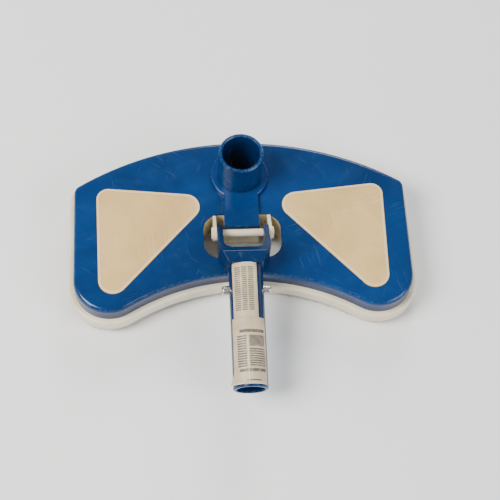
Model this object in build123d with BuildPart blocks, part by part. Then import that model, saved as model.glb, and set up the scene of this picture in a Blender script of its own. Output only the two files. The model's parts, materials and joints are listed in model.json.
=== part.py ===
"""Half-moon pool vacuum head: a weighted housing with a brush skirt, a swivel hose port and a tilting pole handle.

Frame: +X to the right, +Y towards the hose port, +Z up, origin under the middle of the bounding box,
on the floor that the bristles touch. The handle points along -Y and lies flat on its stop at rest.
Lengths are in millimetres. Most sketches are drawn on level(z), whose origin lies on the pivot line.
"""

import os
from math import atan2, cos, radians, sin, sqrt, tan

from build123d import *

# Housing outline, measured from the pivot line on the centre line of the head.
HEAD_WIDTH = 286.0
REAR_REACH = 92.0
FRONT_REACH = 36.5
REAR_ARC_R = 260.0
FRONT_ARC_R = 188.0
REAR_CORNER_R = 8.0
LOBE_R = 30.0

# Heights.
BRISTLE_LENGTH = 8.0
BASE_HEIGHT = 12.0
SHELL_HEIGHT = 16.0
BASE_BOTTOM = BRISTLE_LENGTH
BASE_TOP = BASE_BOTTOM + BASE_HEIGHT
SHELL_TOP = BASE_TOP + SHELL_HEIGHT

# Walls of the two mouldings.
SHELL_WALL = 2.5
ROOF = 2.5
ROOF_UNDER = SHELL_TOP - ROOF
SHELL_EDGE_R = 4.0
BRIDGE_EDGE_R = 1.5
RAIL_TOP_R = 2.0
RAIL_FOOT_R = 1.0
SKIRT_PROUD = 4.5
RAIL_WIDTH = 9.0
RAIL_INSET = SKIRT_PROUD - RAIL_WIDTH
REBATE_WIDTH = 3.0
BASE_PLATE = 3.0
BASE_PLATE_UNDER = BASE_TOP - BASE_PLATE
LIP_HEIGHT = 2.0
LIP_WIDTH = 1.6
FIT_GAP = 0.3

# Well around the pivot, open through the housing, with a tongue behind the axle.
WELL_HALF_WIDTH = 33.0
WELL_FRONT = -22.0
WELL_REAR = 20.0
WELL_CORNER_R = 14.0
WELL_WALL = 2.5
CRADLE_FLANGE = 2.5
TONGUE_HALF_WIDTH = 15.0
TONGUE_FRONT = 6.0
BRIDGE_RISE = 4.0

# Pivot axle and its lugs.
PIVOT_RISE = 3.0
PIVOT_Z = SHELL_TOP + PIVOT_RISE
AXLE_R = 3.25
AXLE_GAP = 0.05
LUG_INNER = 22.1
LUG_THICK = 2.6
LUG_R = 6.5
LUG_FOOT_Y = 8.0
CAP_R = 5.2
CAP_THICK = 1.6
CAP_GAP = 0.1
AXLE_TIP = 1.0
AXLE_LEAD_IN = 0.4

# Weight pockets: corners of the right-hand cover before rounding, outer rear, inner and front.
PAD_CORNERS = ((124.0, 48.0), (22.0, 37.5), (121.5, -71.5))
PAD_REAR_R = 10.0
PAD_R = 12.5
PAD_PROUD = 0.8
PAD_THICK = 3.4
PAD_EDGE_R = 0.6
PAD_RIM_WIDTH = 2.4
PAD_RIM_HEIGHT = 0.4
PAD_GAP = 0.35
LEDGE_WIDTH = 3.5
LEDGE_THICK = 2.4
FRAME_WIDTH = 3.0
LEDGE_TOP = SHELL_TOP + PAD_PROUD - PAD_THICK
LEDGE_UNDER = LEDGE_TOP - LEDGE_THICK
BALLAST_INSET = 1.2
PEG_R = 3.0
PEG_HOLE_GAP = 0.4
PEG_END = 3.0
PEG_SPOTS = ((108.0, 33.0), (56.0, 26.0), (108.0, -30.0))

# Hose port.
PORT_Y = 57.0
HOSE_R = 19.0
HOSE_WALL = 3.0
HOSE_BORE_R = HOSE_R - HOSE_WALL
PORT_TOP = 76.0
PORT_LEAD_IN = 1.0
PORT_GROOVE_RISE = 0.6
PORT_GROOVE_WIDTH = 1.2
PORT_GROOVE_DEPTH = 0.5
COLLAR_WIDTH = 6.0
COLLAR_R = HOSE_R + COLLAR_WIDTH
COLLAR_TOP = SHELL_TOP + BRIDGE_RISE
RUNNING_GAP = 0.08
FLANGE_WIDTH = 3.5
FLANGE_R = HOSE_R + FLANGE_WIDTH
FLANGE_THICK = 3.0
FLANGE_GAP = 0.2
SKIRT_RING_GAP = 2.0
SKIRT_RING_WALL = 3.0
RETAINER_FLANGE = 3.0
RETAINER_R = FLANGE_R
SEAL_WIRE_R = 0.85
SEAL_GROOVE_DEPTH = 1.7
SEAL_RISE = 5.0
TAIL_GAP = 0.4
MOUTH_R = HOSE_BORE_R

# Screws that hold the base to the shell, right-hand side; the left side mirrors them.
SCREW_SPOTS = ((133.0, 12.0), (100.0, 57.0), (42.0, 67.0), (50.0, -29.0))
SCREW_BOSS_R = 4.0
SCREW_R = 1.45
SCREW_PILOT_R = 1.5
SCREW_HOLE_R = 2.0
SCREW_HEAD_R = 3.2
SCREW_HEAD_HEIGHT = 2.2
SCREW_LENGTH = 12.0
PILOT_SPARE = 1.0
RECESS_WIDTH = 0.9
RECESS_LENGTH = 3.8
RECESS_DEPTH = 1.3

# Flow ribs on the ceiling of the suction chamber, and brush strips.
RIB_HEIGHT = 3.5
RIB_WIDTH = 1.8
RIB_NEAR = 34.0
RIB_FAR = 84.0
RIB_ANGLES = (-22.0, 3.0)
BRUSH_WIDTH = 5.0
BRUSH_INSET = 1.7
REAR_BRUSH_SPAN = (12.0, 122.0)
FRONT_BRUSH_SPAN = (9.0, 134.0)
END_BRUSH_SPAN = (-38.0, 34.0)

# Handle. Its yoke reaches TUBE_START out from the pivot line, at AXIS_RISE above it, where the tube begins
# and slopes down by TUBE_TILT degrees. Places on the tube are distances along it from there.
POLE_R = 14.3
TUBE_WALL = 2.6
TUBE_TILT = 8.0
AXIS_RISE = 14.0
TUBE_START = 30.0
TUBE_LENGTH = 112.0
BORE_FROM = 4.0
GROOVE_FROM = 35.5
GROOVE_WIDTH = 1.2
GROOVE_DEPTH = 0.4
TUBE_LEAD_IN = 0.8
NECK_START = 25.0
ARM_INNER = 17.2
ARM_OUTER = 21.8
ARM_R = 7.0
ARM_BORE_GAP = 0.08
YOKE_CORNER_R = 8.0
YOKE_TAPER_START = 24.0
YOKE_TAPER_END = 40.0
YOKE_EDGE_R = 1.2
STOP_GAP = 0.3

# Spring clip with its two buttons, BUTTON_FROM and BEND_FROM along the tube.
STRIP_THICK = 0.8
STRIP_WIDTH = 8.0
BEND_R = 3.3
BEND_FROM = 100.0
LEG_GAP = 0.15
LEG_ROOM = 2.4
LEG_OVERRUN = 5.5
BUTTON_LEG_X = POLE_R - TUBE_WALL - LEG_ROOM
BUTTON_FROM = 28.0
BUTTON_R = 3.8
BUTTON_PROUD = 6.0
BUTTON_DOME_R = 1.6
BUTTON_HOLE_GAP = 0.6

# The pivot line lies so far behind the origin, which is under the middle of the whole length.
TILT = radians(TUBE_TILT)
HANDLE_REACH = TUBE_START + TUBE_LENGTH * cos(TILT) + POLE_R * sin(TILT)
PIVOT_Y = (HANDLE_REACH - (REAR_REACH + SKIRT_PROUD)) / 2
SIDES = ((-1, "left"), (1, "right"))

# Directions in the tube: outwards along it, and square to it on its upper side.
OUTWARDS = Vector(0, -cos(TILT), -sin(TILT))
UPWARDS = Vector(0, -sin(TILT), cos(TILT))


def level(z):
    """Horizontal work plane at height z, its origin on the pivot line."""
    return Plane(origin=(0, PIVOT_Y, z))


def pivot_plane(x):
    """Work plane square to the axle at x: its local x is +Y, its local y is +Z, its origin on the pivot."""
    return Plane(origin=(x, PIVOT_Y, PIVOT_Z), x_dir=(0, 1, 0), z_dir=(1, 0, 0))


def tube_point(along):
    """Point on the tube's axis at a distance along it from where it begins."""
    return Vector(0, PIVOT_Y - TUBE_START, PIVOT_Z + AXIS_RISE) + OUTWARDS * along


def tube_plane(along):
    """Work plane square to the tube, facing outwards: its local x is +X and its local y is the tube's upper side."""
    return Plane(origin=tube_point(along), x_dir=(1, 0, 0), z_dir=OUTWARDS)


def save(part, name):
    """Labels a finished piece and writes its STEP file."""
    part.label = name
    export_step(part, f"parts/{name}.step")


def crescent(grow=0.0):
    """The housing's outline: convex rear, straight ends, round front lobes and a concave front."""
    with BuildSketch() as outline:
        with Locations((0, REAR_REACH - REAR_ARC_R)):
            Circle(REAR_ARC_R)
        Rectangle(HEAD_WIDTH, 2 * REAR_ARC_R, mode=Mode.INTERSECT)
        with Locations((0, -REAR_ARC_R - FRONT_REACH - LOBE_R)):
            Rectangle(HEAD_WIDTH, 2 * FRONT_ARC_R, mode=Mode.SUBTRACT)
        with Locations((0, -FRONT_REACH - FRONT_ARC_R)):
            Circle(FRONT_ARC_R, mode=Mode.SUBTRACT)
        ends = outline.vertices().group_by(Axis.Y)
        fillet(ends[-1], REAR_CORNER_R)
        fillet(outline.vertices().group_by(Axis.Y)[0], LOBE_R)
        if grow:
            offset(amount=grow)
    return outline.sketch


def well(grow=0.0):
    """The opening around the pivot: a rounded slot with the tongue left standing behind the axle."""
    width = 2 * (WELL_HALF_WIDTH + grow)
    depth = WELL_REAR - WELL_FRONT + 2 * grow
    with BuildSketch() as opening:
        with Locations((0, (WELL_REAR + WELL_FRONT) / 2)):
            RectangleRounded(width, depth, WELL_CORNER_R + grow)
        with Locations((0, TONGUE_FRONT + grow)):
            Rectangle(
                2 * (TONGUE_HALF_WIDTH - grow),
                2 * depth,
                align=(Align.CENTER, Align.MIN),
                mode=Mode.SUBTRACT,
            )
    return opening.sketch


def pad(side, grow=0.0):
    """The three-cornered outline of one weight cover; side is -1 on the left."""
    with BuildSketch() as outline:
        with BuildLine():
            Polyline(*[(side * x, y) for x, y in PAD_CORNERS], close=True)
        make_face()
        fillet(outline.vertices().sort_by(Axis.Y)[-1], PAD_REAR_R)
        fillet(outline.vertices().sort_by(Axis.Y)[0], PAD_R)
        fillet(outline.vertices().sort_by_distance((side * PAD_CORNERS[1][0], PAD_CORNERS[1][1]))[0], PAD_R)
        if grow:
            offset(amount=grow)
    return outline.sketch


def both_sides(spots):
    """Right-hand points with their mirror images."""
    return [(side * x, y) for side, _ in SIDES for x, y in spots]


os.makedirs("parts", exist_ok=True)

# Blue cover moulding, open underneath.
with BuildPart() as top_shell:
    with BuildSketch(level(BASE_TOP)):
        add(crescent())
    extrude(amount=SHELL_HEIGHT)
    fillet(top_shell.faces().sort_by(Axis.Z)[-1].outer_wire().edges(), SHELL_EDGE_R)
    with BuildSketch(level(BASE_TOP)):
        add(crescent(-SHELL_WALL))
    extrude(amount=SHELL_HEIGHT - ROOF, mode=Mode.SUBTRACT)
    with BuildSketch(level(SHELL_TOP - ROOF)):
        with Locations((0, PORT_Y)):
            Circle(COLLAR_R)
        with Locations((0, TONGUE_FRONT)):
            Rectangle(2 * TONGUE_HALF_WIDTH, PORT_Y - TONGUE_FRONT, align=(Align.CENTER, Align.MIN))
    extrude(amount=ROOF + BRIDGE_RISE)
    fillet(top_shell.edges().filter_by_position(Axis.Z, COLLAR_TOP - 0.01, COLLAR_TOP + 0.01), BRIDGE_EDGE_R)
    with BuildSketch(level(BASE_TOP)):
        with Locations(*both_sides(SCREW_SPOTS)):
            Circle(SCREW_BOSS_R)
    extrude(amount=SHELL_HEIGHT - ROOF / 2)
    ring_inner = FLANGE_R + SKIRT_RING_GAP
    with BuildSketch(level(BASE_TOP + RETAINER_FLANGE)):
        with Locations((0, PORT_Y)):
            Circle(ring_inner + SKIRT_RING_WALL)
            Circle(ring_inner, mode=Mode.SUBTRACT)
    extrude(amount=ROOF_UNDER - BASE_TOP - RETAINER_FLANGE)
    for side, _ in SIDES:
        with BuildSketch(level(LEDGE_UNDER)):
            add(pad(side, FRAME_WIDTH))
        extrude(amount=SHELL_TOP - LEDGE_UNDER - ROOF / 2)
        with BuildSketch(level(LEDGE_TOP)):
            add(pad(side, PAD_GAP))
        extrude(amount=PAD_THICK, mode=Mode.SUBTRACT)
        with BuildSketch(level(LEDGE_UNDER)):
            add(pad(side, -LEDGE_WIDTH))
        extrude(amount=LEDGE_THICK, mode=Mode.SUBTRACT)
    with BuildSketch(level(BASE_TOP)):
        add(well())
    extrude(amount=SHELL_HEIGHT + BRIDGE_RISE, mode=Mode.SUBTRACT)
    with BuildSketch(level(BASE_TOP)):
        with Locations((0, PORT_Y)):
            Circle(HOSE_R + RUNNING_GAP)
    extrude(amount=SHELL_HEIGHT + BRIDGE_RISE, mode=Mode.SUBTRACT)
    with BuildSketch(level(BASE_TOP)):
        with Locations(*both_sides(SCREW_SPOTS)):
            Circle(SCREW_PILOT_R)
    extrude(amount=SCREW_LENGTH - BASE_PLATE + PILOT_SPARE, mode=Mode.SUBTRACT)
save(top_shell.part, "top_shell")

# Ivory rail around the base, with a rebate that takes the base plate's edge.
with BuildPart() as brush_rail:
    with BuildSketch(level(BASE_BOTTOM)):
        add(crescent(SKIRT_PROUD))
    extrude(amount=BASE_HEIGHT)
    fillet(brush_rail.faces().sort_by(Axis.Z)[-1].outer_wire().edges(), RAIL_TOP_R)
    fillet(brush_rail.faces().sort_by(Axis.Z)[0].outer_wire().edges(), RAIL_FOOT_R)
    with BuildSketch(level(BASE_BOTTOM)):
        add(crescent(RAIL_INSET))
    extrude(amount=BASE_HEIGHT, mode=Mode.SUBTRACT)
    with BuildSketch(level(BASE_PLATE_UNDER)):
        add(crescent(RAIL_INSET + REBATE_WIDTH))
    extrude(amount=BASE_PLATE, mode=Mode.SUBTRACT)
save(brush_rail.part, "brush_rail")

# Ivory base plate with a lip inside the shell and flow ribs.
with BuildPart() as base_plate:
    with BuildSketch(level(BASE_PLATE_UNDER)):
        add(crescent(RAIL_INSET + REBATE_WIDTH - FIT_GAP))
    extrude(amount=BASE_PLATE)
    with BuildSketch(level(BASE_PLATE_UNDER - RIB_HEIGHT)):
        for side, _ in SIDES:
            for angle in RIB_ANGLES:
                along = side * angle if side > 0 else 180 + side * angle
                with Locations(Location((0, PORT_Y, 0), along)):
                    with Locations(((RIB_NEAR + RIB_FAR) / 2, 0)):
                        SlotOverall(RIB_FAR - RIB_NEAR, RIB_WIDTH)
    extrude(amount=RIB_HEIGHT)
    with BuildSketch(level(BASE_TOP)):
        add(crescent(-SHELL_WALL - FIT_GAP))
        add(crescent(-SHELL_WALL - FIT_GAP - LIP_WIDTH), mode=Mode.SUBTRACT)
    extrude(amount=LIP_HEIGHT)
    with BuildSketch(level(BASE_PLATE_UNDER)):
        add(well(WELL_WALL + FIT_GAP))
        with Locations((0, PORT_Y)):
            Circle(MOUTH_R)
        with Locations(*both_sides(SCREW_SPOTS)):
            Circle(SCREW_HOLE_R)
    extrude(amount=BASE_PLATE, mode=Mode.SUBTRACT)
save(base_plate.part, "base_plate")

# Rear of each lug, a gap short of the well's rounded corner.
lug_beside = LUG_INNER + LUG_THICK - (WELL_HALF_WIDTH - WELL_CORNER_R)
lug_rear = WELL_REAR - WELL_CORNER_R + sqrt(WELL_CORNER_R**2 - lug_beside**2) - FIT_GAP

# Ivory cradle: the well's wall, flanged under the base plate, with the two axle lugs inside it.
with BuildPart() as pivot_cradle:
    with BuildSketch(level(BASE_BOTTOM)):
        add(well(WELL_WALL))
    extrude(amount=ROOF_UNDER - BASE_BOTTOM)
    with BuildSketch(level(BASE_PLATE_UNDER - CRADLE_FLANGE)):
        add(well(WELL_WALL + CRADLE_FLANGE))
    extrude(amount=CRADLE_FLANGE)
    with BuildSketch(level(BASE_BOTTOM)):
        add(well())
    extrude(amount=SHELL_TOP, mode=Mode.SUBTRACT)
    for side, _ in SIDES:
        with BuildSketch(pivot_plane(side * LUG_INNER)):
            Circle(LUG_R)
            with Locations((LUG_FOOT_Y, BASE_BOTTOM - PIVOT_Z)):
                Rectangle(lug_rear - LUG_FOOT_Y, SHELL_TOP - BASE_BOTTOM, align=(Align.MIN, Align.MIN))
            make_hull()
        extrude(amount=side * LUG_THICK)
        with BuildSketch(pivot_plane(side * LUG_INNER)):
            with Locations((lug_rear, BASE_BOTTOM - PIVOT_Z)):
                Rectangle(WELL_WALL, ROOF_UNDER - BASE_BOTTOM, align=(Align.MIN, Align.MIN))
        extrude(amount=side * LUG_THICK)
    with BuildSketch(pivot_plane(0)):
        Circle(AXLE_R + AXLE_GAP)
    extrude(amount=LUG_INNER + LUG_THICK, both=True, mode=Mode.SUBTRACT)
save(pivot_cradle.part, "pivot_cradle")

# Weight pockets: covers with locating pegs, and the iron that the pegs hold in place.
for side, word in SIDES:
    pegs = [(side * x, y) for x, y in PEG_SPOTS]
    with BuildPart() as weight_cover:
        with BuildSketch(level(LEDGE_TOP)):
            add(pad(side))
        extrude(amount=PAD_THICK)
        fillet(weight_cover.faces().sort_by(Axis.Z)[-1].outer_wire().edges(), PAD_EDGE_R)
        with BuildSketch(level(LEDGE_TOP + PAD_THICK - PAD_RIM_HEIGHT)):
            add(pad(side, -PAD_RIM_WIDTH))
        extrude(amount=PAD_RIM_HEIGHT, mode=Mode.SUBTRACT)
        with BuildSketch(level(BASE_TOP + PEG_END)):
            with Locations(*pegs):
                Circle(PEG_R)
        extrude(amount=LEDGE_TOP - BASE_TOP - PEG_END)
    save(weight_cover.part, f"weight_cover_{word}")

    with BuildPart() as ballast:
        with BuildSketch(level(BASE_TOP)):
            add(pad(side, -LEDGE_WIDTH - BALLAST_INSET))
            with Locations(*pegs):
                Circle(PEG_R + PEG_HOLE_GAP, mode=Mode.SUBTRACT)
        extrude(amount=LEDGE_TOP - FIT_GAP - BASE_TOP)
    save(ballast.part, f"ballast_{word}")

# Bristle bands under the rail, with gaps between them that let water in.
spans = (
    ("rear", REAR_BRUSH_SPAN, (WELL_REAR, REAR_REACH + SKIRT_PROUD)),
    ("front", FRONT_BRUSH_SPAN, (-2 * FRONT_ARC_R, -FRONT_REACH / 2)),
    ("end", (HEAD_WIDTH / 2 - LOBE_R, HEAD_WIDTH), END_BRUSH_SPAN),
)
for side, word in SIDES:
    for place, (near, far), (low, high) in spans:
        with BuildPart() as brush:
            with BuildSketch(level(0)):
                add(crescent(BRUSH_WIDTH / 2 - BRUSH_INSET))
                add(crescent(-BRUSH_WIDTH / 2 - BRUSH_INSET), mode=Mode.SUBTRACT)
                with Locations((side * (near + far) / 2, (low + high) / 2)):
                    Rectangle(far - near, high - low, mode=Mode.INTERSECT)
            extrude(amount=BRISTLE_LENGTH)
        save(brush.part, f"brush_{place}_{word}")

# Pan-head screws that come up through the base into the shell's bosses.
with BuildPart() as housing_screws:
    with BuildSketch(level(BASE_PLATE_UNDER - SCREW_HEAD_HEIGHT)):
        with Locations(*both_sides(SCREW_SPOTS)):
            Circle(SCREW_HEAD_R)
    extrude(amount=SCREW_HEAD_HEIGHT)
    fillet(housing_screws.edges().group_by(Axis.Z)[0], SCREW_HEAD_HEIGHT / 2)
    with BuildSketch(level(BASE_PLATE_UNDER)):
        with Locations(*both_sides(SCREW_SPOTS)):
            Circle(SCREW_R)
    extrude(amount=SCREW_LENGTH)
    with BuildSketch(level(BASE_PLATE_UNDER - SCREW_HEAD_HEIGHT)):
        with Locations(*both_sides(SCREW_SPOTS)):
            Rectangle(RECESS_LENGTH, RECESS_WIDTH)
            Rectangle(RECESS_WIDTH, RECESS_LENGTH)
    extrude(amount=RECESS_DEPTH, mode=Mode.SUBTRACT)
save(housing_screws.part, "housing_screws")

# Axle through both lugs, with a cap on each end.
with BuildPart() as pivot_axle:
    with BuildSketch(pivot_plane(0)):
        Circle(AXLE_R)
    extrude(amount=LUG_INNER + LUG_THICK + AXLE_TIP, both=True)
    chamfer(pivot_axle.edges().filter_by(GeomType.CIRCLE), AXLE_LEAD_IN)
save(pivot_axle.part, "pivot_axle")

for side, word in SIDES:
    face = LUG_INNER + LUG_THICK + CAP_GAP
    with BuildPart() as axle_cap:
        with BuildSketch(pivot_plane(side * face)):
            Circle(CAP_R)
        extrude(amount=side * CAP_THICK)
        fillet(axle_cap.edges().group_by(Axis.X)[-1 if side > 0 else 0], CAP_THICK / 3)
        with BuildSketch(pivot_plane(side * face)):
            Circle(AXLE_R + AXLE_GAP)
        extrude(amount=side * AXLE_TIP, mode=Mode.SUBTRACT)
    save(axle_cap.part, f"axle_cap_{word}")

# Swivelling hose connector: a tube whose flange turns under the shell's roof.
flange_top = ROOF_UNDER - FLANGE_GAP
with BuildPart() as hose_connector:
    with BuildSketch(level(BASE_TOP + TAIL_GAP)):
        with Locations((0, PORT_Y)):
            Circle(HOSE_R)
    extrude(amount=PORT_TOP - BASE_TOP - TAIL_GAP)
    with BuildSketch(level(flange_top - FLANGE_THICK)):
        with Locations((0, PORT_Y)):
            Circle(FLANGE_R)
    extrude(amount=FLANGE_THICK)
    with BuildSketch(level(BASE_TOP)):
        with Locations((0, PORT_Y)):
            Circle(HOSE_BORE_R)
    extrude(amount=PORT_TOP - BASE_TOP, mode=Mode.SUBTRACT)
    chamfer(hose_connector.edges().group_by(Axis.Z)[-1], PORT_LEAD_IN)
    with BuildSketch(level(COLLAR_TOP + PORT_GROOVE_RISE)):
        with Locations((0, PORT_Y)):
            Circle(FLANGE_R)
            Circle(HOSE_R - PORT_GROOVE_DEPTH, mode=Mode.SUBTRACT)
    extrude(amount=PORT_GROOVE_WIDTH, mode=Mode.SUBTRACT)
save(hose_connector.part, "hose_connector")

# Retainer under the flange, and the seal in its groove.
seal_z = BASE_TOP + SEAL_RISE
with BuildPart() as port_retainer:
    with BuildSketch(level(BASE_TOP)):
        with Locations((0, PORT_Y)):
            Circle(ring_inner + SKIRT_RING_WALL)
    extrude(amount=RETAINER_FLANGE)
    with BuildSketch(level(BASE_TOP)):
        with Locations((0, PORT_Y)):
            Circle(RETAINER_R)
    extrude(amount=flange_top - FLANGE_THICK - FLANGE_GAP - BASE_TOP)
    with BuildSketch(level(BASE_TOP)):
        with Locations((0, PORT_Y)):
            Circle(HOSE_R + RUNNING_GAP)
    extrude(amount=flange_top - BASE_TOP, mode=Mode.SUBTRACT)
    with BuildSketch(level(seal_z - SEAL_WIRE_R)):
        with Locations((0, PORT_Y)):
            Circle(HOSE_R + RUNNING_GAP + SEAL_GROOVE_DEPTH)
    extrude(amount=2 * SEAL_WIRE_R, mode=Mode.SUBTRACT)
save(port_retainer.part, "port_retainer")

with BuildPart() as port_seal:
    with BuildSketch(Plane(origin=(0, PIVOT_Y + PORT_Y, seal_z), x_dir=(1, 0, 0), z_dir=(0, -1, 0))):
        with Locations((HOSE_R + RUNNING_GAP + SEAL_WIRE_R, 0)):
            Circle(SEAL_WIRE_R)
    revolve(axis=Axis((0, PIVOT_Y + PORT_Y, seal_z), (0, 0, 1)))
save(port_seal.part, "port_seal")

# Handle: a forked yoke that turns on the axle and runs into a hollow tube for the pole.
foot = STOP_GAP - PIVOT_RISE
neck_top = AXIS_RISE + POLE_R - (YOKE_TAPER_END - TUBE_START) * tan(TILT)
with BuildPart() as handle:
    with BuildSketch(pivot_plane(-ARM_OUTER)):
        Circle(ARM_R)
        with Locations((-YOKE_TAPER_END, foot)):
            Rectangle(YOKE_TAPER_END - TUBE_START, neck_top - foot, align=(Align.MIN, Align.MIN))
        make_hull()
    extrude(amount=2 * ARM_OUTER)
    with BuildSketch(level(PIVOT_Z - ARM_R)) as yoke_plan:
        with BuildLine():
            Polyline(
                (-ARM_OUTER, ARM_R),
                (-ARM_OUTER, -YOKE_TAPER_START),
                (-POLE_R, -YOKE_TAPER_END),
                (POLE_R, -YOKE_TAPER_END),
                (ARM_OUTER, -YOKE_TAPER_START),
                (ARM_OUTER, ARM_R),
                close=True,
            )
        make_face()
        fillet(yoke_plan.vertices().group_by(Axis.Y)[1], YOKE_CORNER_R)
    extrude(amount=ARM_R + AXIS_RISE + POLE_R, mode=Mode.INTERSECT)
    fillet(handle.faces().sort_by(Axis.Z)[-1].edges(), YOKE_EDGE_R)
    with BuildSketch(tube_plane(0)):
        Circle(POLE_R)
    extrude(amount=TUBE_LENGTH)
    chamfer(handle.faces().sort_by(Axis.Y)[0].edges(), TUBE_LEAD_IN)
    with BuildSketch(pivot_plane(-ARM_OUTER)):
        with Locations((WELL_FRONT + 1, foot)):
            Rectangle(YOKE_TAPER_END, ARM_R, align=(Align.MAX, Align.MAX))
    extrude(amount=2 * ARM_OUTER, mode=Mode.SUBTRACT)
    with BuildSketch(level(PIVOT_Z - ARM_R)):
        with Locations((0, ARM_R + YOKE_CORNER_R)):
            RectangleRounded(
                2 * ARM_INNER,
                ARM_R + YOKE_CORNER_R + NECK_START,
                YOKE_CORNER_R,
                align=(Align.CENTER, Align.MAX),
            )
    extrude(amount=ARM_R + AXIS_RISE + POLE_R, mode=Mode.SUBTRACT)
    with BuildSketch(pivot_plane(0)):
        Circle(AXLE_R + ARM_BORE_GAP)
    extrude(amount=ARM_OUTER, both=True, mode=Mode.SUBTRACT)
    with BuildSketch(tube_plane(BORE_FROM)):
        Circle(POLE_R - TUBE_WALL)
    extrude(amount=TUBE_LENGTH - BORE_FROM, mode=Mode.SUBTRACT)
    with BuildSketch(Plane(origin=tube_point(BUTTON_FROM), x_dir=OUTWARDS, z_dir=(1, 0, 0))):
        Circle(BUTTON_R + BUTTON_HOLE_GAP)
    extrude(amount=POLE_R, both=True, mode=Mode.SUBTRACT)
    with BuildSketch(tube_plane(GROOVE_FROM)):
        Circle(POLE_R + GROOVE_DEPTH)
        Circle(POLE_R - GROOVE_DEPTH, mode=Mode.SUBTRACT)
    extrude(amount=GROOVE_WIDTH, mode=Mode.SUBTRACT)
save(handle.part, "handle")

# Spring clip inside the tube: a bend, and two legs that lean outwards and carry the buttons.
bend_origin = tube_point(BEND_FROM) - UPWARDS * (STRIP_WIDTH / 2)
with BuildPart() as clip_bend:
    with BuildSketch(Plane(origin=bend_origin, x_dir=(1, 0, 0), z_dir=UPWARDS)):
        Circle(BEND_R + STRIP_THICK)
        Circle(BEND_R, mode=Mode.SUBTRACT)
        Rectangle(4 * BEND_R, 4 * BEND_R, align=(Align.CENTER, Align.MIN), mode=Mode.SUBTRACT)
    extrude(amount=STRIP_WIDTH)
save(clip_bend.part, "clip_bend")

leg_tilt = atan2(BUTTON_LEG_X - BEND_R, BEND_FROM - BUTTON_FROM)
leg_reach = (BEND_FROM - BUTTON_FROM) / cos(leg_tilt)
for side, word in SIDES:
    leg_plane = Plane(
        origin=tube_point(BEND_FROM) + Vector(side * BEND_R, 0, 0),
        x_dir=Vector(side * sin(leg_tilt), 0, 0) - OUTWARDS * cos(leg_tilt),
        z_dir=Vector(side * cos(leg_tilt), 0, 0) + OUTWARDS * sin(leg_tilt),
    )
    with BuildPart() as clip_leg:
        with BuildSketch(leg_plane):
            with Locations((LEG_GAP, 0)):
                Rectangle(leg_reach + LEG_OVERRUN - LEG_GAP, STRIP_WIDTH, align=(Align.MIN, Align.CENTER))
        extrude(amount=STRIP_THICK)
    save(clip_leg.part, f"clip_leg_{word}")

    with BuildPart() as snap_button:
        with BuildSketch(leg_plane.offset(STRIP_THICK)):
            with Locations((leg_reach, 0)):
                Circle(BUTTON_R)
        extrude(amount=POLE_R + BUTTON_PROUD - BUTTON_LEG_X - STRIP_THICK)
        far_end = snap_button.faces().sort_by(Axis.X)[-1 if side > 0 else 0]
        fillet(far_end.edges(), BUTTON_DOME_R)
    save(snap_button.part, f"snap_button_{word}")
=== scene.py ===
"""Looks of the half-moon pool vacuum head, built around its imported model.

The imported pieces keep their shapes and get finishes. The plain bristle bands are replaced by tufts of
bristle, and the handle gets its paper label. Lengths are in metres.
"""

import json
from math import cos, pi, radians, sin

import bmesh
import bpy
from mathutils import Matrix, Vector, noise


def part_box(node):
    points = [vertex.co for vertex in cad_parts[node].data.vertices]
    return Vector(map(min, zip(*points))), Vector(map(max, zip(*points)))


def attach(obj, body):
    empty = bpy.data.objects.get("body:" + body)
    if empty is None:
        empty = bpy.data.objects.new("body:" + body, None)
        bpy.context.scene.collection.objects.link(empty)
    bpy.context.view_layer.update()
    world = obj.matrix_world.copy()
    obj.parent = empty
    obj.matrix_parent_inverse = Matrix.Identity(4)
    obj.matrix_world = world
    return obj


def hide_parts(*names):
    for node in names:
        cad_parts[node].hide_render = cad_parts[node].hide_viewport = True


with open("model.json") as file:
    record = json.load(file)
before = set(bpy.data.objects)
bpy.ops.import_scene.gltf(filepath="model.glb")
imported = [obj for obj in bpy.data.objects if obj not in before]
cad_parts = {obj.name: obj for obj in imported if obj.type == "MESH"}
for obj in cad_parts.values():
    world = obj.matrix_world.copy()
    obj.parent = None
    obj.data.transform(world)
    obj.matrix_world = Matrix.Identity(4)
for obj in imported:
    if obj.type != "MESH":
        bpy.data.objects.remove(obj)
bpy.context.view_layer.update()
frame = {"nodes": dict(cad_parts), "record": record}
MM = 0.001


# ---------------------------------------------------------------- sizes

# The tilt is the most that a tuft leans at random, and the lean is that of a tuft's outer bristles.
TUFT_SPACING = 1.75 * MM
TUFT_RADIUS = 0.62 * MM
TUFT_TILT = 0.09
BRISTLE_RADIUS = 0.16 * MM
BRISTLE_LEAN = radians(7)
BRISTLES_ROUND = 7
BRISTLE_SIDES = 5
FIRST_SEED = 11

# Places along the handle's tube, measured from its open end, and angles from the top of the tube.
LABEL_START = -102.5 * MM
LABEL_STEP = -56.0 * MM
LABEL_STOP = -1.2 * MM
LABEL_LAP = 1.5 * MM
NARROW_EDGES = (radians(-54), radians(35))
WIDE_EDGES = (radians(-63), radians(61))
LABEL_ROWS = 42
LABEL_COLUMNS = 36

# The paper's thickness, its stand-off from the tube, the second label's rise on the first, and its crumples.
PAPER_THICK = 0.12 * MM
PAPER_GAP = 0.1 * MM
PAPER_STEP = 0.16 * MM
PAPER_CRUMPLE = 0.09 * MM

# The wide label's lifted corner, as shares of its length and width, and how far it lifts and slides.
CORNER_ALONG = 0.82
CORNER_ACROSS = 0.42
CORNER_LIFT = 52.0 * MM
CORNER_SLIDE = 8.0 * MM

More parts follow.
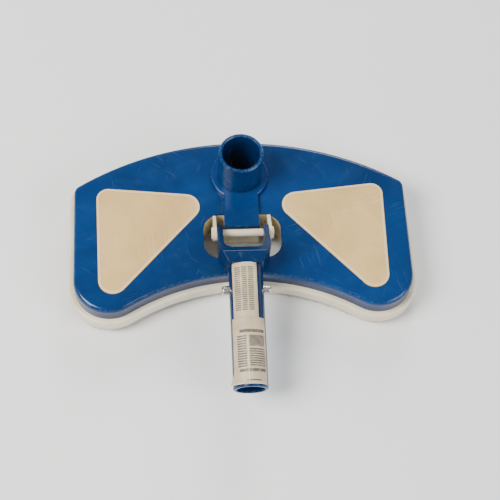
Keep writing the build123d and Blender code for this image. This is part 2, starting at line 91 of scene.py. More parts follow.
# Angles are in degrees, and the lens and sensor in millimetres. The centre of the view is offset from the
# middle of the axle: down by the drop, then right and lower within the view.
VIEW_AZIMUTH = 8.03
VIEW_ELEVATION = 63.3
VIEW_ROLL = 5.75
VIEW_DISTANCE = 1.1
VIEW_LENS = 93.1
SENSOR_WIDTH = 36.0
CENTRE_DROP = 3.0 * MM
CENTRE_RIGHT = 6.4 * MM
CENTRE_LOWER = 13.3 * MM

FLOOR_HALF = 6.0
LAMP_AIM = (0, 0.02, 0.02)
SKY_STRENGTH = 0.34


# ---------------------------------------------------------------- colours

SHELL_DEEP = (0.0005, 0.021, 0.088)
SHELL_BRIGHT = (0.0008, 0.034, 0.14)
CONNECTOR_DEEP = (0.0005, 0.019, 0.08)
CONNECTOR_BRIGHT = (0.0007, 0.03, 0.122)
HANDLE_DEEP = (0.0005, 0.013, 0.052)
HANDLE_BRIGHT = (0.0007, 0.024, 0.095)
BLUE_MILKY = (0.04, 0.11, 0.2)
BLUE_SCRATCHED = (0.1, 0.23, 0.42)
# The rubbed blue is wear; round the shell's roof rim it is also a painted highlight.
BLUE_RUBBED = (0.03, 0.14, 0.32)
# The darker blue: painted shade on the shell's sides and in the connector's bore, and dirt on the handle.
BLUE_SHADE_AND_DIRT = (0.0004, 0.014, 0.075)
BLUE_DUSTY = (0.26, 0.3, 0.34)

CREAM_DEEP = (0.56, 0.355, 0.125)
CREAM_PALE = (0.67, 0.45, 0.175)
CREAM_STAINED = (0.42, 0.29, 0.16)
CREAM_SCUFFED = (0.74, 0.6, 0.42)
CREAM_DUSTY = (0.24, 0.17, 0.1)
# A paler cream, painted as the highlight along the covers' raised rim.
CREAM_RIM_HIGHLIGHT = (0.82, 0.69, 0.47)

BASE_PALE = (0.82, 0.77, 0.6)
BASE_WARM = (0.74, 0.65, 0.45)
AXLE_PALE = (0.8, 0.72, 0.54)
AXLE_WARM = (0.7, 0.6, 0.42)
IVORY_STREAKED = (0.5, 0.43, 0.3)
IVORY_GRIMY = (0.3, 0.24, 0.16)
IVORY_SCUFFED = (0.42, 0.36, 0.27)

IRON_BARE = (0.045, 0.045, 0.05)
IRON_RUSTY = (0.17, 0.065, 0.025)
SCREW_BRIGHT = (0.6, 0.6, 0.58)
SPRING_BRIGHT = (0.5, 0.51, 0.53)
BUTTON_BRIGHT = (0.62, 0.61, 0.59)
STEEL_PITTED = (0.16, 0.13, 0.11)
ACETAL_DARK = (0.02, 0.02, 0.022)
ACETAL_GREY = (0.05, 0.05, 0.055)
RUBBER_BLACK = (0.012, 0.012, 0.012)
RUBBER_BLOOM = (0.05, 0.05, 0.048)

NYLON_CREAM = (0.66, 0.6, 0.46)
NYLON_PALE = (0.84, 0.81, 0.72)
NYLON_DIRTY = (0.38, 0.3, 0.2)

PAPER_PALE = (0.63, 0.51, 0.33)
PAPER_AGED = (0.47, 0.37, 0.235)
PAPER_INK = (0.07, 0.06, 0.06)
# A paler paper, painted as a highlight along the label's fold and also used on its ends.
PAPER_PALE_LINE = (0.82, 0.78, 0.7)

FLOOR_PALE = (0.84, 0.84, 0.84)
FLOOR_PALER = (0.88, 0.88, 0.88)
SKY_COLOUR = (0.95, 0.97, 1.0, 1)


# ---------------------------------------------------------------- shader maths


class Value:
    """A socket in a finish. Arithmetic on it adds the Math nodes."""

    def __init__(self, finish, socket):
        self.finish = finish
        self.socket = socket

    def math(self, operation, *values):
        inputs = dict(enumerate(values))
        return self.finish.node("ShaderNodeMath", {"operation": operation}, inputs)

    def __add__(self, other):
        return self.math("ADD", self, other)

    def __sub__(self, other):
        return self.math("SUBTRACT", self, other)

    def __rsub__(self, other):
        return self.math("SUBTRACT", other, self)

    def __mul__(self, other):
        return self.math("MULTIPLY", self, other)

    __radd__ = __add__
    __rmul__ = __mul__

    def size(self):
        return self.math("ABSOLUTE", self)

    def whole(self):
        return self.math("FLOOR", self)

    def fraction(self):
        return self.math("FRACT", self)

    def root(self):
        return self.math("POWER", self, 0.5)

    def at_most(self, limit):
        return self.math("MINIMUM", self, limit)

    def at_least(self, limit):
        return self.math("MAXIMUM", self, limit)

    def above(self, edge, soft):
        """0 below edge and 1 above edge + soft, with a smooth step between them."""
        return self.finish.node(
            "ShaderNodeMapRange",
            {"interpolation_type": "SMOOTHSTEP"},
            {"Value": self, "From Min": edge, "From Max": edge + soft},
        )

    def below(self, edge, soft):
        """1 below edge - soft and 0 above edge."""
        return 1.0 - self.above(edge - soft, soft)

    def between(self, low, high, soft):
        """1 between low + soft and high - soft, and 0 outside low and high."""
        return self.above(low, soft) * self.below(high, soft)


class Finish:
    """One material: node() makes any node, and the other calls are what these finishes share."""

    def __init__(self, name):
        self.material = bpy.data.materials.new(name)
        self.material.use_nodes = True
        self.tree = self.material.node_tree
        self.shader = self.tree.nodes["Principled BSDF"]
        self.place = self.node("ShaderNodeTexCoord", out="Object")

    def feed(self, socket, value):
        if isinstance(value, Value):
            self.tree.links.new(value.socket, socket)
        elif socket.type == "RGBA":
            socket.default_value = (*value[:3], 1.0)
        else:
            socket.default_value = value

    def node(self, kind, settings=None, inputs=None, out=0):
        made = self.tree.nodes.new(kind)
        for key, value in (settings or {}).items():
            setattr(made, key, value)
        for key, value in (inputs or {}).items():
            self.feed(made.inputs[key], value)
        return Value(self, made.outputs[out])

    def axis(self, index, source=None):
        """One coordinate of a place, which is the piece's own unless source is given."""
        return self.node("ShaderNodeSeparateXYZ", inputs={0: source or self.place}, out=index)

    def height_band(self, low, high, soft):
        """Where height lies between low and high."""
        return self.axis(2).between(low, high, soft)

    def stretched(self, scale, turn=0.0):
        """Object coordinates turned about Z, then scaled by axis."""
        return self.node(
            "ShaderNodeMapping",
            {"vector_type": "TEXTURE"},
            {"Vector": self.place, "Rotation": (0, 0, turn), "Scale": tuple(1 / s for s in scale)},
        )

    def noise(self, scale, detail=2.0, rough=0.5, source=None, warp=0.0):
        values = {"Scale": scale, "Detail": detail, "Roughness": rough, "Distortion": warp}
        values["Vector"] = source or self.place
        return self.node("ShaderNodeTexNoise", inputs=values)

    def cells(self, scale):
        """Distance from the nearest of many scattered points."""
        return self.node("ShaderNodeTexVoronoi", inputs={"Vector": self.place, "Scale": scale})

    def mix(self, amount, first, second):
        """Colour that goes from first to second."""
        return self.node(
            "ShaderNodeMix", {"data_type": "RGBA"}, {0: amount, 6: first, 7: second}, out=2
        )

    def scratches(self, fineness, turns, rarity):
        """Fine straight marks in several directions, in patches. fineness is marks per metre across them."""
        marks = []
        for i, turn in enumerate(turns):
            stretch = self.stretched((fineness, fineness / 60, fineness / 5), turn)
            streak = self.noise(1.0, 2.0, 0.5, stretch)
            patch = self.noise(24.0 + 7 * i, 2.0, 0.5, self.stretched((1, 1, 1), turn + 1))
            marks.append(streak.above(rarity, 0.05) * patch.above(0.53, 0.14))
        return sum(marks).at_most(1.0)

    def dust(self, scale, share):
        """Small specks, thinned out by a slow noise."""
        speck = self.cells(scale).below(0.16, 0.08)
        return speck * self.noise(scale / 11, 2.0).above(1.0 - share, 0.08)

    def bump(self, height, depth, strength=1.0, under=None):
        """A normal raised by height, on top of the normal under it."""
        values = {"Height": height, "Distance": depth, "Strength": strength}
        if under is not None:
            values["Normal"] = under
        return self.node("ShaderNodeBump", inputs=values)

    def finish(self, colour, rough, normal=None, **constants):
        """The material, with its colour, roughness and normal, and the values that are the same all over."""
        self.feed(self.shader.inputs["Base Color"], colour)
        self.feed(self.shader.inputs["Roughness"], rough)
        if normal is not None:
            self.feed(self.shader.inputs["Normal"], normal)
        for name, value in constants.items():
            self.feed(self.shader.inputs[name.replace("_", " ")], value)
        return self.material


# ---------------------------------------------------------------- finishes


def blue_plastic(name, deep, bright, worn, darkening):
    """Glossy moulded plastic: slow colour drift, flow marks, hairline scratches, dust and worn edges.

    worn and darkening take the finish and return where its edges are rubbed and where it is darker. Round
    the shell's roof rim the rubbed band is also a painted highlight. The darker places are painted shade on
    the shell's sides and in the connector's bore, and dirt at the root of the handle's tube.
    """
    look = Finish(name)
    drift = look.noise(13.0, 4.0, 0.6, warp=0.5).above(0.32, 0.36)
    flow = look.noise(1.0, 3.0, 0.55, look.stretched((10, 46, 30), 0.5)).above(0.38, 0.3)
    marks = look.scratches(fineness=1500.0, turns=(0.3, 0.95, 1.9, 2.75), rarity=0.67)
    specks = look.dust(760.0, share=0.34)
    film = look.noise(70.0, 6.0, 0.7, warp=0.8).above(0.46, 0.3)
    rubs = worn(look) * look.noise(420.0, 5.0, 0.7).above(0.42, 0.22)
    colour = look.mix(drift * 0.7 + flow * 0.3, deep, bright)
    colour = look.mix(film * 0.08, colour, BLUE_MILKY)
    colour = look.mix(marks * 0.2, colour, BLUE_SCRATCHED)
    # Round the shell's roof rim this lighter band is partly wear and partly a painted highlight.
    colour = look.mix(rubs * 0.3, colour, BLUE_RUBBED)
    # Painted shade on the shell's sides and in the connector's bore; on the handle this is dirt.
    colour = look.mix(darkening(look) * 0.8, colour, BLUE_SHADE_AND_DIRT)
    colour = look.mix(specks * 0.22, colour, BLUE_DUSTY)
    smears = look.noise(46.0, 5.0, 0.65, warp=1.2)
    rough = 0.12 + smears * 0.14 + film * 0.08 + rubs.at_least(marks) * 0.22 + specks * 0.3
    skin = look.bump(look.noise(620.0, 2.0), 0.00004, 0.3)
    waves = look.bump(look.noise(30.0, 1.0), 0.0006, 0.25, skin)
    normal = look.bump(marks, 0.00003, -0.4, waves)
    return look.finish(colour, rough, normal, Coat_Weight=0.06, Coat_Roughness=0.08, IOR=1.39)


def shell_blue():
    """The shell, rubbed round the rim of its roof and of the bridge to the port, with a painted highlight on
    the roof's rim and painted shade down its sides.
    """
    cover_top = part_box("weight_cover_left")[1].z
    bridge_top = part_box("top_shell")[1].z

    def worn(look):
        # The band round the roof's rim is partly wear and partly a painted highlight on the rounded edge.
        rim = look.height_band(cover_top - 3.0 * MM, cover_top - 1.2 * MM, 0.8 * MM)
        return rim + look.height_band(bridge_top - 1.4 * MM, bridge_top - 0.3 * MM, 0.2 * MM)

    def darkening(look):
        # Painted shade down the shell's sides, below the roof's rim, patchy with noise.
        wall_shade = look.axis(2).below(cover_top - 4.2 * MM, 2.4 * MM)
        return wall_shade * (0.5 + 0.4 * look.noise(90.0, 4.0, 0.6))

    return blue_plastic("shell_blue", SHELL_DEEP, SHELL_BRIGHT, worn, darkening)


def connector_blue():
    """The hose connector, rubbed at its mouth, with painted shade down its bore."""
    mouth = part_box("hose_connector")[1].z
    port = mount("hose_port")

    def worn(look):
        return look.height_band(mouth - 1.4 * MM, mouth + MM, 0.4 * MM)

    def darkening(look):
        over = look.axis(0) - port["pos"].x
        along = look.axis(1) - port["pos"].y
        from_axis = (over * over + along * along).root()
        # Painted shade inside the bore, deepening from 1 mm to 15 mm below the mouth.
        bore = from_axis.below(port["radius"] - 2.4 * MM, 0.8 * MM)
        return bore * look.axis(2).below(mouth - MM, 14 * MM)

    return blue_plastic("connector_blue", CONNECTOR_DEEP, CONNECTOR_BRIGHT, worn, darkening)


def handle_blue():
    """The handle, rubbed at the tube's end and marked at its root by the rim of a pole."""
    spigot = mount("pole_spigot")
    out = spigot["axis"]
    tube_middle = spigot["pos"].dot(out)
    tube_end = tube_middle + spigot["length"] / 2
    tube_root = tube_middle - spigot["length"] / 2

    def along(look):
        """Place along the tube, measured outwards from the origin."""
        inputs = {0: look.place, 1: tuple(out)}
        return look.node("ShaderNodeVectorMath", {"operation": "DOT_PRODUCT"}, inputs, out="Value")

    def worn(look):
        return along(look).above(tube_end - 1.2 * MM, 0.8 * MM)

    def darkening(look):
        ring = along(look).between(tube_root - MM, tube_root + 9 * MM, 2 * MM)
        return ring * look.noise(150.0, 5.0, 0.7).above(0.45, 0.2) * 0.6

    return blue_plastic("handle_blue", HANDLE_DEEP, HANDLE_BRIGHT, worn, darkening)


def cream_cover():
    """Flat cream plastic with a fine spark-eroded grain, scuffs, faint stains and a painted highlight along
    its rim.
    """
    look = Finish("cover_cream")
    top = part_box("weight_cover_left")[1].z
    drift = look.noise(16.0, 5.0, 0.6, warp=0.8)
    marks = look.scratches(fineness=700.0, turns=(0.1, 0.9, 1.9), rarity=0.6)
    stain = look.noise(42.0, 4.0, 0.7).above(0.56, 0.16)
    specks = look.dust(430.0, share=0.35)
    # A painted highlight along the top of the raised rim.
    rim = look.height_band(top - 0.3 * MM, top + MM, 0.2 * MM)
    colour = look.mix(drift.above(0.3, 0.4), CREAM_DEEP, CREAM_PALE)
    colour = look.mix(stain * 0.22, colour, CREAM_STAINED)
    colour = look.mix(marks * 0.3, colour, CREAM_SCUFFED)
    colour = look.mix(specks * 0.5, colour, CREAM_DUSTY)
    colour = look.mix(rim * 0.45, colour, CREAM_RIM_HIGHLIGHT)
    rough = 0.46 + drift * 0.14 - marks * 0.12 + stain * 0.06
    grain = look.bump(look.noise(1500.0, 3.0, 0.6), 0.00006, 0.55)
    sink = look.bump(look.noise(38.0, 1.0), 0.0005, 0.2, grain)
    return look.finish(colour, rough, look.bump(marks, 0.00003, -0.4, sink), IOR=1.47)


def ivory_plastic(name, pale, warm, dirt_from, dirt_to):
    """Satin ivory plastic that has yellowed a little, with grime from dirt_to down to dirt_from."""
    look = Finish(name)
    drift = look.noise(20.0, 4.0, 0.6, warp=0.6).above(0.3, 0.4)
    low_down = look.axis(2).below(dirt_to, dirt_to - dirt_from)
    grime = low_down * look.noise(120.0, 5.0, 0.7).above(0.34, 0.3)
    streaks = look.noise(1.0, 3.0, 0.6, look.stretched((420, 420, 26))).above(0.58, 0.12)
    marks = look.scratches(fineness=800.0, turns=(0.0, 1.1, 2.0), rarity=0.61)
    colour = look.mix(drift, pale, warm)
    colour = look.mix(streaks * 0.18, colour, IVORY_STREAKED)
    colour = look.mix(grime * 0.55, colour, IVORY_GRIMY)
    colour = look.mix(marks * 0.3, colour, IVORY_SCUFFED)
    rough = 0.3 + drift * 0.1 + grime * 0.25 + marks * 0.12
    skin = look.bump(look.noise(760.0, 2.0), 0.00005, 0.4)
    normal = look.bump(marks, 0.00004, -0.5, skin)
    return look.finish(colour, rough, normal, Coat_Weight=0.1, IOR=1.49)


def cast_iron():
    """Gritty dark casting with patches of rust."""
    look = Finish("ballast_iron")
    grit = look.noise(420.0, 6.0, 0.7)
    rust = look.noise(60.0, 5.0, 0.7).above(0.52, 0.14)
    colour = look.mix(rust, IRON_BARE, IRON_RUSTY)
    rough = 0.5 + grit * 0.3 + rust * 0.15
    return look.finish(colour, rough, look.bump(grit, 0.0004, 0.8), Metallic=0.6)


def steel(name, bright, grain_scale, least_rough):
    """Bright steel with a drawn grain, light pitting and smears."""
    look = Finish(name)
    grain = look.noise(1.0, 3.0, 0.6, look.stretched(grain_scale))
    smears = look.noise(210.0, 4.0, 0.6)
    pits = look.dust(900.0, share=0.4)
    dull = tuple(0.78 * part for part in bright)
    colour = look.mix(smears.above(0.35, 0.4), bright, dull)
    colour = look.mix(pits * 0.6, colour, STEEL_PITTED)
    rough = least_rough + grain * 0.14 + smears * 0.1 + pits * 0.3
    return look.finish(colour, rough, look.bump(grain, 0.00003, 0.5), Metallic=1.0)


def dark_acetal():
    """Smooth dark grey plastic of the ring that holds the port."""
    look = Finish("retainer_grey")
    drift = look.noise(80.0, 4.0)
    colour = look.mix(drift, ACETAL_DARK, ACETAL_GREY)
    return look.finish(colour, 0.35 + drift * 0.2, look.bump(look.noise(800.0), 0.00005, 0.4))


def black_rubber():
    """Matt black rubber with a pale bloom."""
    look = Finish("seal_rubber")
    bloom = look.noise(150.0, 5.0, 0.65).above(0.45, 0.2)
    colour = look.mix(bloom, RUBBER_BLACK, RUBBER_BLOOM)
    return look.finish(colour, 0.55 + bloom * 0.2, look.bump(look.noise(900.0), 0.00005, 0.5))


def bristle_nylon():
    """Cream nylon that has picked up dirt towards its tips."""
    look = Finish("bristle_white")
    strand = look.noise(1.0, 2.0, 0.5, look.stretched((900, 900, 12)))
    dirt = look.axis(2).below(4.0 * MM, 4.0 * MM) * look.noise(60.0, 3.0).above(0.35, 0.3)
    colour = look.mix(strand.above(0.3, 0.4), NYLON_CREAM, NYLON_PALE)
    colour = look.mix(dirt * 0.35, colour, NYLON_DIRTY)
    return look.finish(colour, 0.34 + strand * 0.2, Specular_IOR_Level=0.6)


def label_paper():
    """Coated paper with rows of plain grey bars where a label has its print, creased and rubbed, and with a
    painted highlight along the fold.

    Places on it are shares of both labels' length, towards the tube's end, and of the wide one's width.
    """
    look = Finish("label_paper")
    flat = look.node("ShaderNodeTexCoord", out="UV")
    across = look.axis(0, flat)
    along = look.axis(1, flat)

    def box(low, high, left, right, soft_along, soft_across):
        return along.between(low, high, soft_along) * across.between(left, right, soft_across)

    def bars(low, high, rows, left, right, seed, share=0.66):
        """Rows of short bars, which fill about a share of each row."""
        row = (along - low) * (rows / (high - low))
        line = row.fraction().between(0.08, 0.84, 0.12)
        cut = look.node(
            "ShaderNodeCombineXYZ", inputs={0: across * 46.0, 1: row.whole() * 7.31 + seed, 2: 0.0}
        )
        words = look.noise(1.0, 1.0, 0.5, cut).above(0.94 - share, 0.03)
        return line * words * box(low, high, left, right, 0.002, 0.006)

    columns = ((0.15, 0.33, 1.0), (0.36, 0.5, 2.0), (0.53, 0.68, 3.0))
    fine = sum(bars(0.035, 0.405, 21, left, right, seed) for left, right, seed in columns)
    title = bars(0.553, 0.594, 1, 0.24, 0.94, 5.0, share=0.84)
    notes = bars(0.605, 0.868, 13, 0.16, 0.42, 9.0, share=0.8)
    table = bars(0.712, 0.862, 8, 0.49, 0.95, 13.0, share=0.82)
    heavy = bars(0.872, 0.91, 1, 0.2, 0.95, 21.0, share=0.82)
    footer = bars(0.962, 0.98, 1, 0.4, 0.78, 17.0, share=0.74)
    panel = box(0.605, 0.7, 0.49, 0.94, 0.004, 0.01) * (0.72 + 0.16 * look.noise(300.0, 3.0))
    printed = title + heavy + panel + notes + table + footer + fine * 0.85
    rubbed = 0.7 + 0.3 * look.noise(240.0, 4.0, 0.7).above(0.34, 0.2)
    ageing = look.noise(60.0, 4.0, 0.6, warp=0.8).above(0.3, 0.4)
    from_crease = (across - 0.44 - 0.03 * look.noise(40.0, 2.0)).size()
    # The fold, which is bumped and also gets a painted highlight.
    crease_and_highlight = from_crease.below(0.014, 0.01) * along.above(0.6, 0.05)
    ends = along.below(0.006, 0.004) + along.above(0.992, 0.004)
    colour = look.mix(ageing, PAPER_PALE, PAPER_AGED)
    colour = look.mix(printed.at_most(0.95) * rubbed, colour, PAPER_INK)
    # A painted highlight along the fold, in the paler colour that the label's ends also get.
    colour = look.mix((crease_and_highlight + ends).at_most(1.0) * 0.75, colour, PAPER_PALE_LINE)
    grain = look.bump(look.noise(2200.0, 2.0), 0.00004, 0.5)
    crumple = look.bump(look.noise(150.0, 3.0, 0.6, warp=1.5), 0.0007, 0.5, grain)
    normal = look.bump(crease_and_highlight, 0.0003, 0.6, crumple)
    return look.finish(colour, 0.42 + ageing * 0.15, normal, Coat_Weight=0.1)


# ---------------------------------------------------------------- pieces


def mount(name):
    """A mount of the record, with its place and axis as vectors and its sizes in metres."""
    found = next(m for m in frame["record"]["mounts"] if m["name"] == name)
    return {
        "pos": Vector(found["pos_m"]),
        "axis": Vector(found["axis"]).normalized(),
        "radius": found["dims"]["r_mm"] * MM,
        "length": found["dims"]["length_mm"] * MM,
    }


def put(name, data):
    """A new object in the scene, at the origin."""
    made = bpy.data.objects.new(name, data)
    bpy.context.scene.collection.objects.link(made)
    return made


def mesh_of(work, name):
    """A mesh with what was built in work, which is freed."""
    mesh = bpy.data.meshes.new(name)
    work.to_mesh(mesh)
    work.free()
    return mesh


def set_inputs(modifier, values):
    """Sets a Geometry Nodes modifier's inputs by the names that its tree gives them."""
    for item in modifier.node_group.interface.items_tree:
        if item.item_type == "SOCKET" and item.in_out == "INPUT" and item.name in values:
            modifier[item.identifier] = values[item.name]


def plain_mesh(holder, name):
    """The holder's evaluated shape as a new object, and the holder removed."""
    bpy.context.view_layer.update()
    graph = bpy.context.evaluated_depsgraph_get()
    piece = put(name, bpy.data.meshes.new_from_object(holder.evaluated_get(graph), depsgraph=graph))
    old = holder.data
    bpy.data.objects.remove(holder)
    bpy.data.meshes.remove(old)
    return piece


def bristle_tree():
    """Tufts of leaning bristles that hang from a surface, each tuft a ring of bristles round one more."""
    tree = bpy.data.node_groups.new("bristle_tufts", "GeometryNodeTree")
    face = tree.interface
    face.new_socket("Geometry", in_out="INPUT", socket_type="NodeSocketGeometry")
    for name, kind in (
        ("Tuft spacing", "NodeSocketFloat"),
        ("Tuft radius", "NodeSocketFloat"),
        ("Bristle length", "NodeSocketFloat"),
        ("Bristle radius", "NodeSocketFloat"),
        ("Lean", "NodeSocketFloat"),
        ("Ring count", "NodeSocketInt"),
        ("Seed", "NodeSocketInt"),
        ("Finish", "NodeSocketMaterial"),
    ):
        face.new_socket(name, in_out="INPUT", socket_type=kind)
    face.new_socket("Geometry", in_out="OUTPUT", socket_type="NodeSocketGeometry")
    given = tree.nodes.new("NodeGroupInput").outputs

    def node(kind, inputs=None, settings=None):
        made = tree.nodes.new(kind)
        for key, value in (settings or {}).items():
            setattr(made, key, value)
        for key, value in (inputs or {}).items():
            if isinstance(value, bpy.types.NodeSocket):
                tree.links.new(value, made.inputs[key])
            else:
                made.inputs[key].default_value = value
        return made

    def maths(operation, first, second):
        return node("ShaderNodeMath", {0: first, 1: second}, {"operation": operation}).outputs[0]

    # One bristle, with its top at the origin.
    strand = node(
        "GeometryNodeMeshCone",
        {
            "Vertices": BRISTLE_SIDES,
            "Side Segments": 2,
            "Radius Top": given["Bristle radius"],
            "Radius Bottom": given["Bristle radius"],
            "Depth": given["Bristle length"],
        },
    )
    drop = node("ShaderNodeCombineXYZ", {2: maths("MULTIPLY", given["Bristle length"], -1.0)})
    hung = node("GeometryNodeTransform", {"Geometry": strand.outputs["Mesh"], "Translation": drop.outputs[0]})

    # One tuft: bristles on a ring lean outwards round an upright one.
    ring = node("GeometryNodeMeshCircle", {"Vertices": given["Ring count"], "Radius": given["Tuft radius"]})
    middle = node("GeometryNodeMeshLine", {"Count": 1})
    spots = node("GeometryNodeJoinGeometry")
    tree.links.new(ring.outputs[0], spots.inputs[0])
    tree.links.new(middle.outputs[0], spots.inputs[0])
    spot = node("ShaderNodeSeparateXYZ", {0: node("GeometryNodeInputPosition").outputs[0]})
    lean_per_metre = maths("DIVIDE", given["Lean"], given["Tuft radius"])
    turn_x = maths("MULTIPLY", spot.outputs[1], lean_per_metre)
    turn_y = maths("MULTIPLY", maths("MULTIPLY", spot.outputs[0], lean_per_metre), -1.0)
    splay = node("ShaderNodeCombineXYZ", {0: turn_x, 1: turn_y})
    tuft = node(
        "GeometryNodeInstanceOnPoints",
        {"Points": spots.outputs[0], "Instance": hung.outputs[0], "Rotation": splay.outputs[0]},
    )

    # Many tufts. The density is so high that only the spacing limits their number.
    roots = node(
        "GeometryNodeDistributePointsOnFaces",
        {
            "Mesh": given["Geometry"],
            "Distance Min": given["Tuft spacing"],
            "Density Max": 9e5,
            "Seed": given["Seed"],
        },
        {"distribute_method": "POISSON"},
    )
    spin = node(
        "FunctionNodeRandomValue",
        {0: (-TUFT_TILT, -TUFT_TILT, 0.0), 1: (TUFT_TILT, TUFT_TILT, 2 * pi), "Seed": given["Seed"]},
        {"data_type": "FLOAT_VECTOR"},
    )
    tufts = node(
        "GeometryNodeInstanceOnPoints",
        {"Points": roots.outputs["Points"], "Instance": tuft.outputs[0], "Rotation": spin.outputs[0]},
    )
    real = node("GeometryNodeRealizeInstances", {"Geometry": tufts.outputs[0]})
    coat = node("GeometryNodeSetMaterial", {"Geometry": real.outputs[0], "Material": given["Finish"]})
    tree.links.new(coat.outputs[0], tree.nodes.new("NodeGroupOutput").inputs[0])
    return tree


def bristles(node_name, tree, material, seed):
    """Bristles that hang from the upper face of one CAD band down to the floor, in place of the band."""
    low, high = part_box(node_name)
    work = bmesh.new()
    work.from_mesh(frame["nodes"][node_name].data)
    bmesh.ops.remove_doubles(work, verts=work.verts, dist=1e-6)
    work.normal_update()
    others = [face for face in work.faces if face.normal.z < 0.9]
    bmesh.ops.delete(work, geom=others, context="FACES")
    holder = put("roots", mesh_of(work, "roots"))
    modifier = holder.modifiers.new("tufts", "NODES")
    modifier.node_group = tree
    set_inputs(
        modifier,
        {
            "Tuft spacing": TUFT_SPACING,
            "Tuft radius": TUFT_RADIUS,
            "Bristle length": high.z - low.z,
            "Bristle radius": BRISTLE_RADIUS,
            "Lean": BRISTLE_LEAN,
            "Ring count": BRISTLES_ROUND,
            "Seed": seed,
            "Finish": material,
        },
    )
    piece = plain_mesh(holder, node_name.replace("brush", "bristles"))
    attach(piece, "head")
    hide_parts(node_name)
    return piece


def share_of(value, low, high):
    """How far value lies from low to high, from 0 to 1."""
    return (value - low) / (high - low)


def label_strip(work, uv, layer, near, far, edges):
    """One label as a bent grid: layer 0 lies on the tube, and layer 1 over it with a corner lifted."""
    spigot = mount("pole_spigot")
    out = spigot["axis"]
    side = Vector((1, 0, 0))
    up = out.cross(side)
    tube_end = spigot["pos"] + out * spigot["length"] / 2
    lines = []
    for i in range(LABEL_ROWS + 1):
        down = i / LABEL_ROWS
        place = near + (far - near) * down
        line = []
        for j in range(LABEL_COLUMNS + 1):
            over = j / LABEL_COLUMNS
            angle = edges[0] + (edges[1] - edges[0]) * over
            crumple = noise.noise(Vector((place * 180, angle * 2.2, layer * 5.0)))
            corner = max(0.0, down - CORNER_ALONG) * max(0.0, CORNER_ACROSS - over) * layer
            lift = PAPER_GAP + PAPER_STEP * layer + PAPER_CRUMPLE * crumple + CORNER_LIFT * corner
            ray = side * sin(angle) + up * cos(angle)
            spot = tube_end + out * (place + CORNER_SLIDE * corner) + ray * (spigot["radius"] + lift)
            flat = (share_of(angle, *WIDE_EDGES), share_of(place, LABEL_START, LABEL_STOP))
            line.append((work.verts.new(spot), flat))
        lines.append(line)
    for first, second in zip(lines, lines[1:]):
        for j in range(LABEL_COLUMNS):
            corners = (first[j], second[j], second[j + 1], first[j + 1])
            face = work.faces.new([vert for vert, flat in corners])
            face.smooth = True
            for loop, (vert, flat) in zip(face.loops, corners):
                loop[uv].uv = flat


def paper_label(material):
    """Two joined labels round the handle's tube: a narrow one, then a wide one with a lifted corner."""
    work = bmesh.new()
    uv = work.loops.layers.uv.new("UVMap")
    label_strip(work, uv, 0, LABEL_START, LABEL_STEP + LABEL_LAP, NARROW_EDGES)
    label_strip(work, uv, 1, LABEL_STEP, LABEL_STOP, WIDE_EDGES)
    work.normal_update()
    mesh = mesh_of(work, "paper_label")
    mesh.materials.append(material)
    piece = put("paper_label", mesh)
    sheet = piece.modifiers.new("thickness", "SOLIDIFY")
    sheet.thickness = PAPER_THICK
    sheet.offset = 1.0
    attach(piece, "handle")
    return piece


# ---------------------------------------------------------------- stage


def view_axes(azimuth, elevation, roll):
    """The right, up and forward directions of a view."""
    a, e, r = radians(azimuth), radians(elevation), radians(roll)
    forward = Vector((sin(a) * cos(e), cos(a) * cos(e), -sin(e)))
    level = Vector((cos(a), -sin(a), 0))
    rise = level.cross(forward)
    return cos(r) * level + sin(r) * rise, cos(r) * rise - sin(r) * level, forward


def camera():
    """A long lens high in front of the head, a little to its left."""
    right, up, forward = view_axes(VIEW_AZIMUTH, VIEW_ELEVATION, VIEW_ROLL)
    axle = (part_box("pivot_axle")[0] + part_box("pivot_axle")[1]) / 2
    centre = axle - Vector((0, 0, CENTRE_DROP)) + right * CENTRE_RIGHT - up * CENTRE_LOWER
    lens = bpy.data.cameras.new("camera")
    lens.lens = VIEW_LENS
    lens.sensor_width = SENSOR_WIDTH
    eye = put("camera", lens)
    turn = Matrix((right, up, -forward)).transposed()
    eye.matrix_world = Matrix.Translation(centre - forward * VIEW_DISTANCE) @ turn.to_4x4()
    bpy.context.scene.camera = eye


def lamp(name, place, size, power, colour=(1, 1, 1)):
    """A square soft box that faces the middle of the head."""
    light = bpy.data.lights.new(name, "AREA")
    light.shape = "SQUARE"
    light.size = size
    light.energy = power
    light.color = colour
    body = put(name, light)
    body.location = place
    body.rotation_euler = (Vector(LAMP_AIM) - Vector(place)).to_track_quat("-Z", "Y").to_euler()


def floor_pale():
    """Even, matt and almost white."""
    look = Finish("floor_pale")
    drift = look.noise(3.0, 3.0)
    return look.finish(look.mix(drift, FLOOR_PALE, FLOOR_PALER), 0.6 + drift * 0.1)


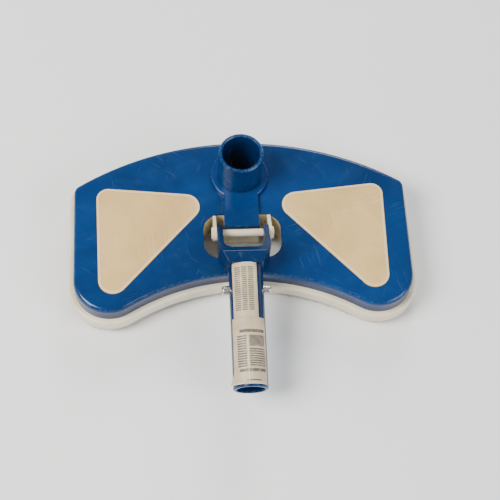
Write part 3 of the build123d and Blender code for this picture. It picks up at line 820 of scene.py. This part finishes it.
def stage():
    """Pale floor, pale surroundings and three soft lights."""
    work = bmesh.new()
    bmesh.ops.create_grid(work, x_segments=1, y_segments=1, size=FLOOR_HALF)
    floor = put("floor", mesh_of(work, "floor"))
    floor.data.materials.append(floor_pale())
    world = bpy.data.worlds.new("pale")
    world.use_nodes = True
    surroundings = world.node_tree.nodes["Background"].inputs
    surroundings["Color"].default_value = SKY_COLOUR
    surroundings["Strength"].default_value = SKY_STRENGTH
    bpy.context.scene.world = world
    lamp("key_light", place=(-1.1, -0.35, 1.45), size=0.9, power=54.0, colour=(1.0, 0.98, 0.95))
    lamp("fill_light", place=(1.3, -0.8, 1.1), size=1.1, power=24.0, colour=(0.96, 0.98, 1.0))
    lamp("rear_light", place=(0.3, 1.5, 0.9), size=0.7, power=16.0)


# ---------------------------------------------------------------- assembly

finishes = {
    "shell_blue": shell_blue(),
    "connector_blue": connector_blue(),
    "handle_blue": handle_blue(),
    "cover_cream": cream_cover(),
    "base_ivory": ivory_plastic("base_ivory", BASE_PALE, BASE_WARM, dirt_from=7.5 * MM, dirt_to=12.0 * MM),
    "axle_ivory": ivory_plastic("axle_ivory", AXLE_PALE, AXLE_WARM, dirt_from=0.0, dirt_to=20.0 * MM),
    "ballast_iron": cast_iron(),
    "screw_steel": steel("screw_steel", SCREW_BRIGHT, grain_scale=(900, 90, 400), least_rough=0.24),
    "spring_steel": steel("spring_steel", SPRING_BRIGHT, grain_scale=(120, 900, 900), least_rough=0.28),
    "button_steel": steel("button_steel", BUTTON_BRIGHT, grain_scale=(500, 500, 500), least_rough=0.2),
    "retainer_grey": dark_acetal(),
    "seal_rubber": black_rubber(),
    "bristle_white": bristle_nylon(),
}
for part in frame["record"]["subparts"]:
    data = frame["nodes"][part["node"]].data
    data.materials.clear()
    data.materials.append(finishes[part["material_slot"]])

tufts = bristle_tree()
bands = sorted(n for n in frame["nodes"] if n.startswith("brush_") and n != "brush_rail")
for number, band_name in enumerate(bands):
    bristles(band_name, tufts, finishes["bristle_white"], FIRST_SEED + number)
paper_label(label_paper())

camera()
stage()
